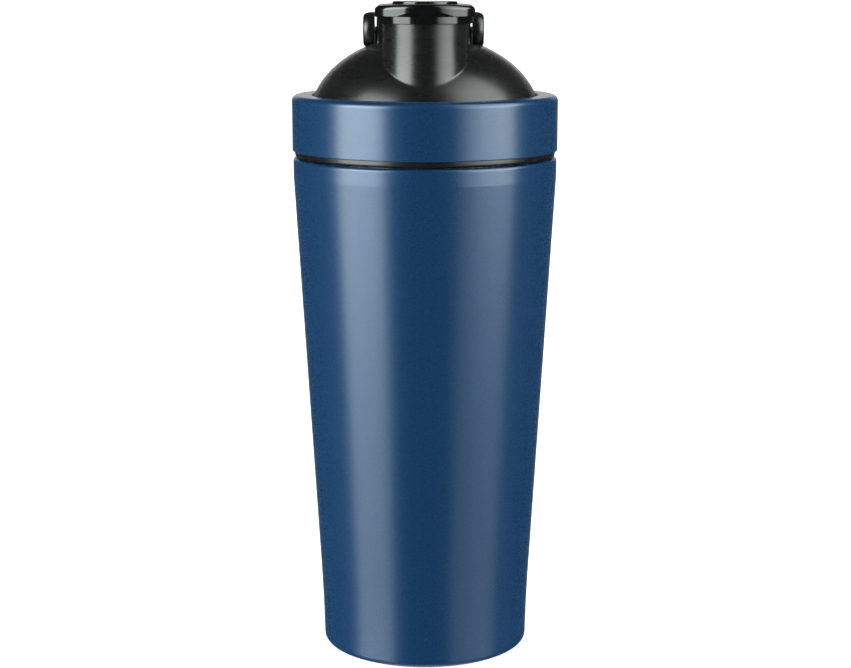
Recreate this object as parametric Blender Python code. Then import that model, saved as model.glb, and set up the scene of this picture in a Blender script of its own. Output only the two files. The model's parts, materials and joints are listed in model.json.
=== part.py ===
"""Protein shaker bottle: a double-walled steel cup, a screw lid with a drinking spout, a flip cap
and a carry loop, and a loose wire mixing ball.

Metres, +Z up. The origin is the centre of the cup's foot, and the spout is on the -Y side.
"""

import math

import bmesh
import bpy
from mathutils import Matrix, Vector

MM = 0.001

# Fineness of round shapes and the free space that neighbouring pieces keep.
ROUND_STEPS = 48
SPOUT_STEPS = 36
KNUCKLE_STEPS = 28
PIN_STEPS = 20
GAP = 0.3 * MM
MERGE = 0.001 * MM
SHARP_ANGLE = math.radians(32)

# Cup: sheet thickness, the upright band under the shoulder, the tapered wall and the foot.
SHEET = 0.6 * MM
BAND_RADIUS = 47.2 * MM
BAND_BOTTOM = 173.8 * MM
SHOULDER_TOP = 179.9 * MM
SHOULDER_CORNER = 1.1 * MM
TAPER = 0.0594
EASE_TOP = 27.9 * MM
EASE_RATE = 0.74
EASE_HEIGHTS = (20 * MM, 12 * MM, 6 * MM)
HEEL_RADIUS = 2.2 * MM
FOOT_INNER_RADIUS = 33.5 * MM

# Inner liner: straight neck, tapered wall, rounded floor.
NECK_RADIUS = 42.6 * MM
NECK_BOTTOM = 163 * MM
RIM_TOP = 196.5 * MM
LINER_BOTTOM = 6.5 * MM
LINER_CORNER = 6 * MM

# Base plate: a shallow dish pressed into the foot's opening.
PLATE_UNDERSIDE = 2.4 * MM
PLATE_FLANGE = 1.6 * MM

# Two-start screw thread between the neck and the lid.
THREAD_LEAD = 8 * MM
THREAD_STARTS = 2
THREAD_SPAN = math.radians(270)
THREAD_STEPS = 24
THREAD_FADE = 0.08
THREAD_ROOT_WIDTH = 1.6 * MM
THREAD_TIP_WIDTH = 0.8 * MM
THREAD_HEIGHT = 1.3 * MM
MALE_THREAD_START = 184.4 * MM
THREAD_PITCH = THREAD_LEAD / THREAD_STARTS

# Lid: skirt, collar, dome (an ellipse turned about the axis) and its flat top.
SKIRT_RADIUS = 46.6 * MM
SKIRT_BORE = 44.3 * MM
SKIRT_BOTTOM = 180.4 * MM
SKIRT_CORNER = 1.2 * MM
COLLAR_RADIUS = 47.5 * MM
COLLAR_BOTTOM = 182.4 * MM
COLLAR_TOP = 202.1 * MM
COLLAR_CORNER = 2 * MM
COLLAR_OPENING = 40.4 * MM
DOME_RADIUS = 41.3 * MM
DOME_HEIGHT = 29.9 * MM
DOME_CENTRE = 193.3 * MM
DOME_STEPS = 9
FLAT_TOP = 220 * MM
FLANGE_TOP = COLLAR_TOP - SHEET - GAP
CAVITY_RADIUS = 38.6 * MM
CAVITY_HEIGHT = 27.6 * MM
CAVITY_CEILING = 215.2 * MM
PLUG_RING_RADIUS = 40.2 * MM
PLUG_RING_BOTTOM = 193 * MM
GASKET_SEAT = 199.3 * MM

# Spout.
SPOUT_CENTRE = -22.25 * MM
SPOUT_RADIUS = 14.6 * MM
SPOUT_BORE = 13 * MM
SPOUT_TOP = 231 * MM
SPOUT_LIP = 0.7 * MM

# Hinge that the flip cap and the carry loop share. It sits a little to one side of the spout.
HINGE_X = -0.5 * MM
HINGE_Y = 4 * MM
HINGE_Z = 224.67 * MM
PIN_RADIUS = 1.2 * MM
PIN_HALF_LENGTH = 19.6 * MM
PIN_HOLE_RADIUS = PIN_RADIUS + GAP
LUG_INNER = 13.6 * MM
LUG_OUTER = 16.75 * MM
LUG_RADIUS = 4.5 * MM
SHOULDER_HALF = 3.6 * MM

# Flip cap.
CAP_SKIRT_RADIUS = 16.66 * MM
CAP_SKIRT_BORE = 15.7 * MM
CAP_SKIRT_BOTTOM = 227.8 * MM
CAP_CEILING = 231.4 * MM
CAP_HALF_WIDTH = 17.05 * MM
CAP_FRONT_RADIUS = 22 * MM
CAP_FRONT = -40.6 * MM
CAP_BACK = 0.2 * MM
CAP_CORNER = 2.2 * MM
CAP_UNDERSIDE = 230.2 * MM
CAP_EDGE_TOP = 233.85 * MM
CAP_CROWN = 0.7 * MM
CAP_BEVEL = 1 * MM
PAD_RADIUS = 11.2 * MM
PAD_TOP = 235.4 * MM
PAD_CAMBER = 0.1 * MM
ARCH_HALF_WIDTH = 10.5 * MM
ARCH_HEIGHT = 2 * MM
ARCH_STEPS = 14
CAP_KNUCKLE_RADIUS = 3.5 * MM
CAP_KNUCKLE_HALF = 13.2 * MM

# Seal on the flip cap.
SEAL_TOP_RADIUS = 12.7 * MM
SEAL_TIP_RADIUS = 11.6 * MM
SEAL_BOTTOM = 227.9 * MM

# Carry loop: knuckles on the pin, arms that slope down behind the dome, and a cross bar.
LOOP_INNER = 17.5 * MM
LOOP_OUTER = 21.5 * MM
LOOP_KNUCKLE_RADIUS = 6.35 * MM
KNUCKLE_EDGE = 1.5 * MM
KNUCKLE_CROWN = 2.8 * MM
LOOP_ROUNDING = 1.2 * MM
LOOP_REACH = 41.5 * MM
LOOP_CORNER = 7 * MM
LOOP_TILT = math.radians(8)
LOOP_BEND = math.radians(6) / (40 * MM)
LOOP_WIDTH = 3.2 * MM
LOOP_ROOT_HEIGHT = 7.6 * MM
LOOP_BAR_HEIGHT = 5.8 * MM

# Mixing ball: one wire wound around a sphere.
BALL_RADIUS = 16.2 * MM
WIRE_RADIUS = 0.8 * MM
BALL_TURNS = 6
BALL_STEPS_PER_TURN = 18
BALL_POLE = math.radians(14)
BALL_TILT = math.radians(62)


def clear_scene():
    for obj in list(bpy.data.objects):
        bpy.data.objects.remove(obj, do_unlink=True)


def make_material(name, colour, roughness, metallic):
    material = bpy.data.materials.new(name)
    material.use_nodes = True
    shader = material.node_tree.nodes["Principled BSDF"]
    shader.inputs["Base Color"].default_value = (*colour, 1)
    shader.inputs["Roughness"].default_value = roughness
    shader.inputs["Metallic"].default_value = metallic
    return material


def add_object(name, bm):
    """Close the bmesh into a smooth-shaded object whose faces point outwards."""
    bmesh.ops.remove_doubles(bm, verts=bm.verts, dist=MERGE)
    bmesh.ops.recalc_face_normals(bm, faces=bm.faces)
    mesh = bpy.data.meshes.new(name)
    bm.to_mesh(mesh)
    bm.free()
    mesh.shade_smooth()
    mesh.set_sharp_from_angle(angle=SHARP_ANGLE)
    obj = bpy.data.objects.new(name, mesh)
    bpy.context.scene.collection.objects.link(obj)
    return obj


def arc(centre, radius, start, end, steps):
    """Points of an arc, with its angles in degrees from the first axis towards the second."""
    points = []
    for i in range(steps + 1):
        angle = math.radians(start + (end - start) * i / steps)
        points.append((centre[0] + radius * math.cos(angle), centre[1] + radius * math.sin(angle)))
    return points


def lathe(name, outline, steps=ROUND_STEPS, centre_y=0.0):
    """Turn an outline of (radius, height) points about a vertical axis.

    An outline that starts and ends on the axis is left open there; any other is closed.
    A flat end is one face without a point at its centre, so that cutters meet no spokes there.
    """
    bm = bmesh.new()
    points = [bm.verts.new((radius, centre_y, height)) for radius, height in outline]
    pairs = list(zip(points, points[1:]))
    if outline[0][0] > 0:
        pairs.append((points[-1], points[0]))
    edges = [bm.edges.new(pair) for pair in pairs]
    bmesh.ops.spin(
        bm, geom=points + edges, cent=(0, centre_y, 0), axis=(0, 0, 1), angle=math.tau, steps=steps
    )
    bmesh.ops.remove_doubles(bm, verts=bm.verts, dist=MERGE)
    for end, beside in ((outline[0], outline[1]), (outline[-1], outline[-2])):
        if end[0] == 0 and end[1] == beside[1]:
            on_axis = Vector((0, centre_y, end[1]))
            centre = min(bm.verts, key=lambda vert: (vert.co - on_axis).length)
            bmesh.ops.dissolve_verts(bm, verts=[centre])
    return add_object(name, bm)


def skin(name, rings):
    """Join rings of equally many points into one closed solid."""
    bm = bmesh.new()
    loops = [[bm.verts.new(point) for point in ring] for ring in rings]
    for lower, upper in zip(loops, loops[1:]):
        for i in range(len(lower)):
            j = (i + 1) % len(lower)
            bm.faces.new((lower[i], lower[j], upper[j], upper[i]))
    bm.faces.new(loops[0])
    bm.faces.new(loops[-1])
    return add_object(name, bm)


def cross_rod(name, stations, steps):
    """A rod along X about the hinge axis, through (x, radius) stations."""
    rings = []
    for x, radius in stations:
        circle = arc((HINGE_Y, HINGE_Z), radius, 0, 360 * (steps - 1) / steps, steps - 1)
        rings.append([(x, y, z) for y, z in circle])
    return skin(name, rings)


def extrude_across(name, profile, half_width, centre_x=0.0):
    """A profile of (y, z) points, extruded along X to both sides of centre_x."""
    bm = bmesh.new()
    face = bm.faces.new([bm.verts.new((centre_x - half_width, y, z)) for y, z in profile])
    made = bmesh.ops.extrude_face_region(bm, geom=[face])["geom"]
    moved = [item for item in made if isinstance(item, bmesh.types.BMVert)]
    bmesh.ops.translate(bm, verts=moved, vec=(2 * half_width, 0, 0))
    return add_object(name, bm)


def combine(target, operation, *tools):
    """Boolean each tool into the target; the tools stay in the file as hidden wires."""
    for tool in tools:
        tool.hide_render = True
        tool.display_type = "WIRE"
        tool.parent = target.parent
        modifier = target.modifiers.new(tool.name, "BOOLEAN")
        modifier.operation = operation
        modifier.solver = "EXACT"
        modifier.object = tool


def add_pivot(name, location):
    pivot = bpy.data.objects.new(name, None)
    pivot.location = location
    bpy.context.scene.collection.objects.link(pivot)
    return pivot


def hang(pivot, *pieces):
    """Parent pieces to a pivot, so that each piece turns about it and stays where it was drawn."""
    for piece in pieces:
        piece.data.transform(Matrix.Translation(-pivot.location))
        piece.parent = pivot


def ellipse_arc(radius, rise, low, high, steps):
    """(radius, height) points of the dome's ellipse between two heights, from low to high."""
    start = math.asin((low - DOME_CENTRE) / rise)
    end = math.asin((high - DOME_CENTRE) / rise)
    points = []
    for i in range(steps + 1):
        angle = start + (end - start) * i / steps
        points.append((radius * math.cos(angle), DOME_CENTRE + rise * math.sin(angle)))
    return points


def cup_radius(height):
    """Outside radius of the tapered wall; the taper eases off towards the foot."""
    radius = BAND_RADIUS - TAPER * (BAND_BOTTOM - height)
    return radius + EASE_RATE * max(0.0, EASE_TOP - height) ** 2


def build_outer_shell():
    heights = (BAND_BOTTOM, EASE_TOP) + EASE_HEIGHTS
    corner = (BAND_RADIUS - SHOULDER_CORNER, SHOULDER_TOP - SHOULDER_CORNER)
    heel = (cup_radius(HEEL_RADIUS) - HEEL_RADIUS, HEEL_RADIUS)
    opening = NECK_RADIUS + GAP
    outline = [(opening, SHOULDER_TOP)]
    outline += arc(corner, SHOULDER_CORNER, 90, 0, 3)
    outline += [(cup_radius(z), z) for z in heights]
    outline += arc(heel, HEEL_RADIUS, 0, -90, 4)
    outline += [(FOOT_INNER_RADIUS, 0), (FOOT_INNER_RADIUS, SHEET)]
    outline += arc(heel, HEEL_RADIUS - SHEET, -90, 0, 3)
    outline += [(cup_radius(z) - SHEET, z) for z in reversed(heights)]
    outline += arc(corner, SHOULDER_CORNER - SHEET, 0, 90, 2)
    outline += [(opening, SHOULDER_TOP - SHEET)]
    return lathe("outer_shell", outline)


def build_base_plate():
    rim = FOOT_INNER_RADIUS - GAP
    top = PLATE_UNDERSIDE + SHEET
    outline = [
        (0, PLATE_UNDERSIDE),
        (rim - SHEET - PLATE_FLANGE, PLATE_UNDERSIDE),
        (rim - SHEET, PLATE_FLANGE - SHEET),
        (rim - SHEET, GAP),
        (rim, GAP),
        (rim, PLATE_FLANGE),
        (rim - PLATE_FLANGE, top),
        (0, top),
    ]
    return lathe("base_plate", outline)


def thread_ridges(name, root_radius, tip_radius, start_height):
    """One solid per start: a trapezoid carried along a helix, fading into its wall at both ends."""
    inwards = math.copysign(1, root_radius - tip_radius)
    sunk = root_radius + inwards * GAP
    flush = root_radius + inwards * GAP / 3
    ridges = []
    for start in range(THREAD_STARTS):
        rings = []
        for i in range(THREAD_STEPS + 1):
            along = i / THREAD_STEPS
            angle = start * math.tau / THREAD_STARTS + along * THREAD_SPAN
            height = start_height + THREAD_LEAD * along * THREAD_SPAN / math.tau
            rise = min(1.0, along / THREAD_FADE, (1 - along) / THREAD_FADE)
            tip = flush + (tip_radius - flush) * rise
            section = (
                (sunk, -THREAD_ROOT_WIDTH / 2),
                (tip, -THREAD_TIP_WIDTH / 2),
                (tip, THREAD_TIP_WIDTH / 2),
                (sunk, THREAD_ROOT_WIDTH / 2),
            )
            rings.append([(r * math.cos(angle), r * math.sin(angle), height + z) for r, z in section])
        ridges.append(skin(f"{name}_{start + 1}", rings))
    return ridges


def build_inner_liner():
    corner_height = LINER_BOTTOM + LINER_CORNER
    wall_radius = NECK_RADIUS - TAPER * (NECK_BOTTOM - corner_height)
    corner = (wall_radius - LINER_CORNER, corner_height)
    rim = (NECK_RADIUS - SHEET / 2, RIM_TOP - SHEET / 2)
    outline = [(0, LINER_BOTTOM)]
    outline += arc(corner, LINER_CORNER, -90, 0, 4)
    outline += [(NECK_RADIUS, NECK_BOTTOM)]
    outline += arc(rim, SHEET / 2, 0, 180, 4)
    outline += [(NECK_RADIUS - SHEET, NECK_BOTTOM)]
    outline += arc(corner, LINER_CORNER - SHEET, 0, -90, 4)
    outline += [(0, LINER_BOTTOM + SHEET)]
    liner = lathe("inner_liner", outline)
    tip = NECK_RADIUS + THREAD_HEIGHT
    combine(liner, "UNION", *thread_ridges("neck_thread", NECK_RADIUS, tip, MALE_THREAD_START))
    return liner


def build_collar_ring():
    corner = (COLLAR_RADIUS - COLLAR_CORNER, COLLAR_TOP - COLLAR_CORNER)
    chamfer = SHEET / 3
    outline = [(COLLAR_OPENING, COLLAR_TOP)]
    outline += arc(corner, COLLAR_CORNER, 90, 0, 3)
    outline += [
        (COLLAR_RADIUS, COLLAR_BOTTOM + chamfer),
        (COLLAR_RADIUS - chamfer, COLLAR_BOTTOM),
        (COLLAR_RADIUS - SHEET, COLLAR_BOTTOM),
    ]
    outline += arc(corner, COLLAR_CORNER - SHEET, 0, 90, 2)
    outline += [(COLLAR_OPENING, COLLAR_TOP - SHEET)]
    return lathe("collar_ring", outline)


def spout_cylinder(name, radius, low, high):
    return lathe(name, [(0, low), (radius, low), (radius, high), (0, high)], SPOUT_STEPS, SPOUT_CENTRE)


def build_lug(name, side):
    """Upright hinge lug with a round top, its foot sunk into the dome."""
    foot = CAVITY_CEILING + (FLAT_TOP - CAVITY_CEILING) / 2
    profile = [(HINGE_Y + LUG_RADIUS, foot)]
    profile += arc((HINGE_Y, HINGE_Z), LUG_RADIUS, 0, 180, 12)
    profile += [(HINGE_Y - LUG_RADIUS, foot)]
    half_width = (LUG_OUTER - LUG_INNER) / 2
    return extrude_across(name, profile, half_width, HINGE_X + side * (LUG_INNER + LUG_OUTER) / 2)


def build_shoulder(name, side):
    """Low shoulder outside a lug that keeps the carry loop's knuckle in its place on the pin."""
    foot = CAVITY_CEILING + (FLAT_TOP - CAVITY_CEILING) / 2
    front, back = HINGE_Y - SHOULDER_HALF, HINGE_Y + SHOULDER_HALF
    profile = [(back, foot), (back, HINGE_Z), (front, HINGE_Z), (front, foot)]
    near = (LUG_INNER + LUG_OUTER) / 2
    half_width = (LOOP_INNER - near) / 2
    return extrude_across(name, profile, half_width, HINGE_X + side * (LOOP_INNER + near) / 2)


def build_lid_body():
    skirt_corner = (SKIRT_RADIUS - SKIRT_CORNER, SKIRT_BOTTOM + SKIRT_CORNER)
    flange_chamfer = COLLAR_CORNER / 2
    outside = [(0, SKIRT_BOTTOM)]
    outside += arc(skirt_corner, SKIRT_CORNER, -90, 0, 3)
    outside += [
        (SKIRT_RADIUS, FLANGE_TOP - flange_chamfer),
        (SKIRT_RADIUS - flange_chamfer, FLANGE_TOP),
    ]
    outside += ellipse_arc(DOME_RADIUS, DOME_HEIGHT, FLANGE_TOP, FLAT_TOP, DOME_STEPS)
    outside += [(0, FLAT_TOP)]
    lid = lathe("lid_body", outside)

    lip_low = SPOUT_TOP - SPOUT_LIP
    tube = [(0, CAVITY_CEILING - 15 * MM), (SPOUT_RADIUS, CAVITY_CEILING - 15 * MM)]
    tube += arc((SPOUT_RADIUS - SPOUT_LIP, lip_low), SPOUT_LIP, 0, 90, 3)
    tube += [(0, SPOUT_TOP)]
    spout = lathe("spout_tube", tube, SPOUT_STEPS, SPOUT_CENTRE)
    combine(lid, "UNION", spout, build_lug("lug_left", -1), build_lug("lug_right", 1))
    combine(lid, "UNION", build_shoulder("shoulder_left", -1), build_shoulder("shoulder_right", 1))

    below = SKIRT_BOTTOM - 2 * MM
    inside = [(0, below), (SKIRT_BORE, below), (SKIRT_BORE, GASKET_SEAT)]
    inside += [
        (PLUG_RING_RADIUS, GASKET_SEAT),
        (PLUG_RING_RADIUS, PLUG_RING_BOTTOM),
        (CAVITY_RADIUS, PLUG_RING_BOTTOM),
    ]
    inside += ellipse_arc(CAVITY_RADIUS, CAVITY_HEIGHT, DOME_CENTRE, CAVITY_CEILING, 6)
    inside += [(0, CAVITY_CEILING)]
    cavity = lathe("lid_cavity", inside)
    bore = spout_cylinder("spout_bore", SPOUT_BORE, PLUG_RING_BOTTOM, SPOUT_TOP + 1 * MM)
    scoop_radius = LOOP_KNUCKLE_RADIUS + GAP
    scoops = []
    for side in (-1, 1):
        near = HINGE_X + side * (LOOP_INNER - GAP)
        far = HINGE_X + side * (LOOP_OUTER + 5 * MM)
        stations = [(near, scoop_radius), (far, scoop_radius)]
        scoops.append(cross_rod("knuckle_scoop", stations, KNUCKLE_STEPS))
    reach = LOOP_INNER + 1 * MM
    pin_hole = cross_rod("lug_hole", [(-reach, PIN_HOLE_RADIUS), (reach, PIN_HOLE_RADIUS)], PIN_STEPS)
    combine(lid, "DIFFERENCE", cavity, bore, pin_hole, *scoops)

    start = MALE_THREAD_START + THREAD_PITCH / 2
    tip = SKIRT_BORE - THREAD_HEIGHT
    combine(lid, "UNION", *thread_ridges("lid_thread", SKIRT_BORE, tip, start))
    return lid


def build_lid_gasket():
    inner = PLUG_RING_RADIUS + GAP
    outer = SKIRT_BORE - GAP
    low = RIM_TOP + GAP
    high = GASKET_SEAT - GAP
    chamfer = 0.4 * MM
    outline = [
        (inner, low + chamfer),
        (inner, high),
        (outer, high),
        (outer, low + chamfer),
        (outer - chamfer, low),
        (inner + chamfer, low),
    ]
    return lathe("lid_gasket", outline)


def build_hinge_pin():
    chamfer = PIN_RADIUS / 4
    ends = [(PIN_HALF_LENGTH, PIN_RADIUS - chamfer), (PIN_HALF_LENGTH - chamfer, PIN_RADIUS)]
    stations = [(HINGE_X - x, radius) for x, radius in ends]
    stations += [(HINGE_X + x, radius) for x, radius in reversed(ends)]
    return cross_rod("hinge_pin", stations, PIN_STEPS)


def tongue(inset):
    """The cap's outline in plan, moved inwards: a wide arc at the front and straight sides."""
    half_width = CAP_HALF_WIDTH - inset
    front = CAP_FRONT_RADIUS - inset
    centre = CAP_FRONT + CAP_FRONT_RADIUS
    back = CAP_BACK - inset
    corner = max(CAP_CORNER - inset, 0.4 * MM)
    corner_x = half_width - corner
    corner_y = centre - math.sqrt((front - corner) ** 2 - corner_x**2)
    turn = math.degrees(math.atan2(corner_y - centre, corner_x))
    points = arc((0, centre), front, -180 - turn, turn, 12)[1:-1]
    points += arc((corner_x, corner_y), corner, turn, 0, 4)
    points += arc((corner_x, back - corner), corner, 0, 90, 3)
    points += arc((-corner_x, back - corner), corner, 90, 180, 3)
    points += arc((-corner_x, corner_y), corner, 180, 180 - turn, 4)
    return points


def thumb_arch():
    """The cut under the cap's front edge: an arch in front that slopes down to the skirt."""
    rings = []
    for i in range(ARCH_STEPS + 1):
        share = 1.06 * (2 * i / ARCH_STEPS - 1)
        x = ARCH_HALF_WIDTH * share
        front = CAP_FRONT + CAP_FRONT_RADIUS - math.sqrt(CAP_FRONT_RADIUS**2 - x * x)
        back = SPOUT_CENTRE - math.sqrt(CAP_SKIRT_RADIUS**2 - x * x)
        slope = ARCH_HEIGHT * (1 - share * share) / (back - front)
        outside, inside = front - 2 * MM, back + 0.8 * MM
        rings.append([
            (x, outside, CAP_UNDERSIDE - 2 * MM),
            (x, outside, CAP_UNDERSIDE + slope * (back - outside)),
            (x, inside, CAP_UNDERSIDE + slope * (back - inside)),
            (x, inside, CAP_UNDERSIDE - 2 * MM),
        ])
    return skin("thumb_arch", rings)


def build_flip_cap():
    def level(inset, height, crown):
        ring = []
        for x, y in tongue(inset):
            ring.append((x, y, height + crown * (1 - (x / CAP_HALF_WIDTH) ** 2)))
        return ring

    edge = CAP_BEVEL / 3
    levels = [
        level(edge, CAP_UNDERSIDE, 0),
        level(0, CAP_UNDERSIDE + edge, 0),
        level(0, CAP_EDGE_TOP - CAP_BEVEL, CAP_CROWN),
        level(CAP_BEVEL, CAP_EDGE_TOP, CAP_CROWN),
        level(6 * MM, CAP_EDGE_TOP, CAP_CROWN),
        level(12 * MM, CAP_EDGE_TOP, CAP_CROWN),
    ]
    cap = skin("flip_cap", levels)

    combine(cap, "DIFFERENCE", thumb_arch())

    skirt = spout_cylinder("cap_skirt", CAP_SKIRT_RADIUS, CAP_SKIRT_BOTTOM, CAP_EDGE_TOP - CAP_BEVEL)
    pad_edge = PAD_TOP - PAD_CAMBER
    pad_outline = [(0, CAP_CEILING + 1 * MM), (PAD_RADIUS, CAP_CEILING + 1 * MM)]
    pad_outline += arc((PAD_RADIUS - 0.4 * MM, pad_edge - 0.4 * MM), 0.4 * MM, 0, 90, 2)
    pad_outline += [(PAD_RADIUS / 2, PAD_TOP - PAD_CAMBER / 4), (0, PAD_TOP)]
    pad = lathe("cap_pad", pad_outline, SPOUT_STEPS, SPOUT_CENTRE)
    arm_front = SPOUT_CENTRE + CAP_SKIRT_BORE + 1 * MM
    arm_profile = [(arm_front, CAP_EDGE_TOP - CAP_BEVEL), (arm_front, CAP_SKIRT_BOTTOM)]
    arm_profile += arc((HINGE_Y, HINGE_Z), CAP_KNUCKLE_RADIUS, -110, 40, 12)
    arm_profile += [(CAP_BACK - CAP_CORNER, CAP_EDGE_TOP - CAP_BEVEL)]
    arm = extrude_across("cap_arm", arm_profile, CAP_KNUCKLE_HALF, HINGE_X)
    combine(cap, "UNION", skirt, pad, arm)

    hollow = spout_cylinder("cap_hollow", CAP_SKIRT_BORE, CAP_SKIRT_BOTTOM - 1 * MM, CAP_CEILING)
    reach = CAP_KNUCKLE_HALF + 1 * MM
    pin_hole = cross_rod("cap_hole", [(-reach, PIN_HOLE_RADIUS), (reach, PIN_HOLE_RADIUS)], PIN_STEPS)
    combine(cap, "DIFFERENCE", hollow, pin_hole)
    return cap


def build_cap_seal():
    chamfer = 0.5 * MM
    outline = [
        (0, SEAL_BOTTOM),
        (SEAL_TIP_RADIUS - chamfer, SEAL_BOTTOM),
        (SEAL_TIP_RADIUS, SEAL_BOTTOM + chamfer),
        (SEAL_TOP_RADIUS, CAP_CEILING - GAP),
        (0, CAP_CEILING - GAP),
    ]
    return lathe("cap_seal", outline, SPOUT_STEPS, SPOUT_CENTRE)


def loop_point(x, along, lift):
    """A point of the folded loop: x sideways, along its curved length, lift off its mid-surface."""
    angle = -LOOP_TILT - LOOP_BEND * along
    swing = (math.sin(-LOOP_TILT) - math.sin(angle)) / LOOP_BEND
    drop = (math.cos(-LOOP_TILT) - math.cos(angle)) / LOOP_BEND
    y = HINGE_Y + swing - lift * math.sin(angle)
    z = HINGE_Z - drop + lift * math.cos(angle)
    return (HINGE_X + x, y, z)


def build_carry_loop():
    mid = (LOOP_INNER + LOOP_OUTER) / 2
    straight = LOOP_REACH - LOOP_CORNER
    corner_x = mid - LOOP_CORNER
    half_path = [(mid, straight * i / 6, 0.0) for i in range(6)]
    for i in range(7):
        angle = math.pi / 2 * i / 6
        x = corner_x + LOOP_CORNER * math.cos(angle)
        half_path.append((x, straight + LOOP_CORNER * math.sin(angle), angle))
    path = half_path + [(-x, along, math.pi - angle) for x, along, angle in reversed(half_path)]

    rings = []
    for x, along, angle in path:
        taper = along / LOOP_REACH
        height = LOOP_ROOT_HEIGHT + (LOOP_BAR_HEIGHT - LOOP_ROOT_HEIGHT) * taper
        half_w = LOOP_WIDTH / 2
        half_h = height / 2
        cut = LOOP_ROUNDING
        section = [
            (half_w, -half_h + cut),
            (half_w, half_h - cut),
            (half_w - cut, half_h),
            (cut - half_w, half_h),
            (-half_w, half_h - cut),
            (-half_w, -half_h + cut),
            (cut - half_w, -half_h),
            (half_w - cut, -half_h),
        ]
        ring = []
        for outwards, lift in section:
            sideways = x + outwards * math.cos(angle)
            ring.append(loop_point(sideways, along + outwards * math.sin(angle), lift))
        rings.append(ring)
    loop = skin("carry_loop", rings)

    for side, label in ((-1, "left"), (1, "right")):
        stations = [(HINGE_X + side * LOOP_INNER, LOOP_KNUCKLE_RADIUS)]
        for turn in (0, math.pi / 8, math.pi / 4, 3 * math.pi / 8, math.pi / 2):
            out = LOOP_OUTER - KNUCKLE_CROWN * (1 - math.sin(turn))
            radius = LOOP_KNUCKLE_RADIUS - KNUCKLE_EDGE * (1 - math.cos(turn))
            stations.append((HINGE_X + side * out, radius))
        combine(loop, "UNION", cross_rod(f"loop_knuckle_{label}", stations, KNUCKLE_STEPS))
    for side, label in ((-1, "left"), (1, "right")):
        mouth = HINGE_X + side * (LOOP_INNER - 1 * MM)
        depth = HINGE_X + side * (PIN_HALF_LENGTH + GAP)
        stations = [(mouth, PIN_HOLE_RADIUS), (depth, PIN_HOLE_RADIUS)]
        combine(loop, "DIFFERENCE", cross_rod(f"loop_hole_{label}", stations, PIN_STEPS))
    return loop


def build_mixing_ball():
    """One wire that winds from pole to pole of a sphere, lying tilted on the liner's floor."""
    curve = bpy.data.curves.new("mixing_ball", "CURVE")
    curve.dimensions = "3D"
    curve.bevel_depth = WIRE_RADIUS
    curve.bevel_resolution = 1
    curve.use_fill_caps = True
    count = BALL_TURNS * BALL_STEPS_PER_TURN + 1
    spline = curve.splines.new("POLY")
    spline.points.add(count - 1)
    tilt = Matrix.Rotation(BALL_TILT, 3, "X")
    for i, point in enumerate(spline.points):
        along = i / (count - 1)
        polar = BALL_POLE + (math.pi - 2 * BALL_POLE) * along
        turn = math.tau * BALL_TURNS * along
        ring = BALL_RADIUS * math.sin(polar)
        place = tilt @ Vector((ring * math.cos(turn), ring * math.sin(turn), BALL_RADIUS * math.cos(polar)))
        point.co = (*place, 1)
    ball = bpy.data.objects.new("mixing_ball", curve)
    bpy.context.scene.collection.objects.link(ball)
    ball.location = (0, 0, LINER_BOTTOM + SHEET + GAP + BALL_RADIUS + WIRE_RADIUS)
    return ball


def main():
    clear_scene()
    paint = make_material("blue_paint", (0.028, 0.068, 0.133), 0.42, 0.25)
    steel = make_material("brushed_steel", (0.62, 0.63, 0.64), 0.3, 1.0)
    black = make_material("black_plastic", (0.022, 0.022, 0.022), 0.38, 0.0)
    silicone = make_material("grey_silicone", (0.09, 0.09, 0.095), 0.6, 0.0)

    lid_axis = add_pivot("lid_axis", (0, 0, SKIRT_BOTTOM))
    cap_hinge = add_pivot("cap_hinge", (0, HINGE_Y, HINGE_Z))
    loop_hinge = add_pivot("loop_hinge", (0, HINGE_Y, HINGE_Z))
    bpy.context.view_layer.update()

    finishes = [
        (build_outer_shell(), paint, None),
        (build_inner_liner(), steel, None),
        (build_base_plate(), steel, None),
        (build_lid_gasket(), silicone, lid_axis),
        (build_lid_body(), black, lid_axis),
        (build_collar_ring(), paint, lid_axis),
        (build_hinge_pin(), steel, cap_hinge),
        (build_flip_cap(), black, cap_hinge),
        (build_cap_seal(), silicone, cap_hinge),
        (build_carry_loop(), black, loop_hinge),
        (build_mixing_ball(), steel, None),
    ]
    for piece, material, pivot in finishes:
        piece.data.materials.append(material)
        if pivot:
            tools = [modifier.object for modifier in piece.modifiers]
            hang(pivot, piece, *tools)


main()
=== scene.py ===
"""Looks of the protein shaker bottle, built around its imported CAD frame. Metres, +Z up, spout on -Y."""

import json
import math

import bmesh
import bpy
from mathutils import Matrix, Vector


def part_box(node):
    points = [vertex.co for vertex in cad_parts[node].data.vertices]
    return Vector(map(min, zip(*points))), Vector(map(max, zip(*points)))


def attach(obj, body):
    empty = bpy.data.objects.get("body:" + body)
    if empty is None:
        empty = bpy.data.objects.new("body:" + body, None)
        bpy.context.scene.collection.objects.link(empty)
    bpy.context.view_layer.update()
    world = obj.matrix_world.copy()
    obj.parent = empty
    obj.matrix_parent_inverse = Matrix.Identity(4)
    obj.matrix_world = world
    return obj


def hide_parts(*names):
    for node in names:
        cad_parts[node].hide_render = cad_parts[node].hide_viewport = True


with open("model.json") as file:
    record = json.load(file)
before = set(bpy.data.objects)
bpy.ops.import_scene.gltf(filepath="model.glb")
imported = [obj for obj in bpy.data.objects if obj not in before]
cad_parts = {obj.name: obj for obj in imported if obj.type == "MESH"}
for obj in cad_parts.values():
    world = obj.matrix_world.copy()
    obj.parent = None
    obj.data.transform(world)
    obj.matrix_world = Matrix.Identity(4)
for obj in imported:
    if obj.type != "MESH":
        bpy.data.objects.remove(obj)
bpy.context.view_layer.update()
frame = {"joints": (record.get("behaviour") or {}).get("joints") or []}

MM = 0.001


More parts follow.
